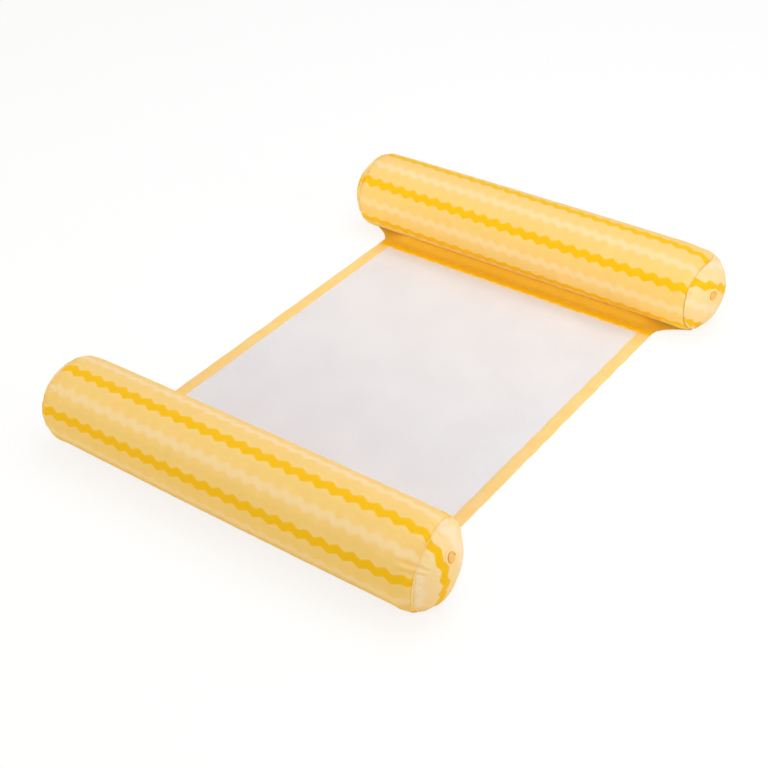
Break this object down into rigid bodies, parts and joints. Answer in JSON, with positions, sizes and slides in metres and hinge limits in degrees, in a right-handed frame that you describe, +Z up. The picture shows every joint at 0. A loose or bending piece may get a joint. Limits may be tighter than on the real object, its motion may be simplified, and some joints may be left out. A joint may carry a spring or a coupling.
{
  "type": "water hammock",
  "caption": "Inflatable water hammock: fabric covered air bolsters for the head and knees, joined by a mesh seat panel, with push-in valves in the domed ends.",
  "frame": {"origin": "on the floor under the middle of the seat panel, half way between the bolsters", "axes": "+X along the bolsters towards the ends with the valves, +Y from the front bolster to the rear bolster, +Z up"},
  "size_m": [0.9, 1.1372, 0.17],
  "materials": {
    "printed_fabric": "woven, printed with wavy stripes",
    "seam_welt": "corded fabric",
    "edge_binding": "folded woven tape",
    "seat_mesh": "fine open knit net",
    "bladder_vinyl": "smooth film",
    "valve_vinyl": "moulded soft vinyl"
  },
  "bodies": {
    "front_panel": {"front_mesh": "seat_mesh", "front_hem": "printed_fabric", "front_left_binding": "edge_binding", "front_right_binding": "edge_binding"},
    "rear_panel": {"rear_mesh": "seat_mesh", "rear_hem": "printed_fabric", "rear_left_binding": "edge_binding", "rear_right_binding": "edge_binding"},
    "front_bolster": {"front_flange": "printed_fabric", "front_sleeve": "printed_fabric", "front_left_cap": "printed_fabric", "front_right_cap": "printed_fabric", "front_left_welt": "seam_welt", "front_right_welt": "seam_welt", "front_bladder": "bladder_vinyl", "front_valve_base": "valve_vinyl"},
    "rear_bolster": {"rear_flange": "printed_fabric", "rear_sleeve": "printed_fabric", "rear_left_cap": "printed_fabric", "rear_right_cap": "printed_fabric", "rear_left_welt": "seam_welt", "rear_right_welt": "seam_welt", "rear_bladder": "bladder_vinyl", "rear_valve_base": "valve_vinyl"},
    "front_nozzle": {"front_valve_stem": "valve_vinyl", "front_valve_strap": "valve_vinyl"},
    "rear_nozzle": {"rear_valve_stem": "valve_vinyl", "rear_valve_strap": "valve_vinyl"},
    "front_plug": {"front_valve_plug": "valve_vinyl"},
    "rear_plug": {"rear_valve_plug": "valve_vinyl"},
    "front_flap": {"front_valve_flap": "valve_vinyl"},
    "rear_flap": {"rear_valve_flap": "valve_vinyl"}
  },
  "joints": [
    {"name": "panel_fold", "type": "hinge", "parent": "front_panel", "child": "rear_panel", "pos_m": [0, 0, 0.0022], "axis": [1, 0, 0], "range_deg": [0, 120]},
    {"name": "front_bolster_fold", "type": "hinge", "parent": "front_panel", "child": "front_bolster", "pos_m": [0, -0.416, 0.0011], "axis": [-1, 0, 0], "range_deg": [-90, 72]},
    {"name": "rear_bolster_fold", "type": "hinge", "parent": "rear_panel", "child": "rear_bolster", "pos_m": [0, 0.416, 0.0011], "axis": [1, 0, 0], "range_deg": [-90, 72]},
    {"name": "front_nozzle_push", "type": "slide", "parent": "front_bolster", "child": "front_nozzle", "axis": [0.9396, 0.0298, 0.3409], "range_m": [0, 0.012]},
    {"name": "rear_nozzle_push", "type": "slide", "parent": "rear_bolster", "child": "rear_nozzle", "axis": [0.9396, -0.2964, 0.1711], "range_m": [0, 0.012]},
    {"name": "front_plug_pull", "type": "slide", "parent": "front_nozzle", "child": "front_plug", "axis": [0.9396, 0.0298, 0.3409], "range_m": [0, 0.012]},
    {"name": "rear_plug_pull", "type": "slide", "parent": "rear_nozzle", "child": "rear_plug", "axis": [0.9396, -0.2964, 0.1711], "range_m": [0, 0.012]},
    {"name": "front_flap_hinge", "type": "hinge", "parent": "front_nozzle", "child": "front_flap", "pos_m": [0.4278, -0.48136, 0.11662], "axis": [-0.0317, 0.9995, 0], "range_deg": [0, 50], "stiffness_Nm_per_rad": 0.0002, "springref_deg": -11.46},
    {"name": "rear_flap_hinge", "type": "hinge", "parent": "rear_nozzle", "child": "rear_flap", "pos_m": [0.42876, 0.46082, 0.10364], "axis": [0.3008, 0.9537, 0], "range_deg": [0, 50], "stiffness_Nm_per_rad": 0.0002, "springref_deg": -11.46}
  ]
}
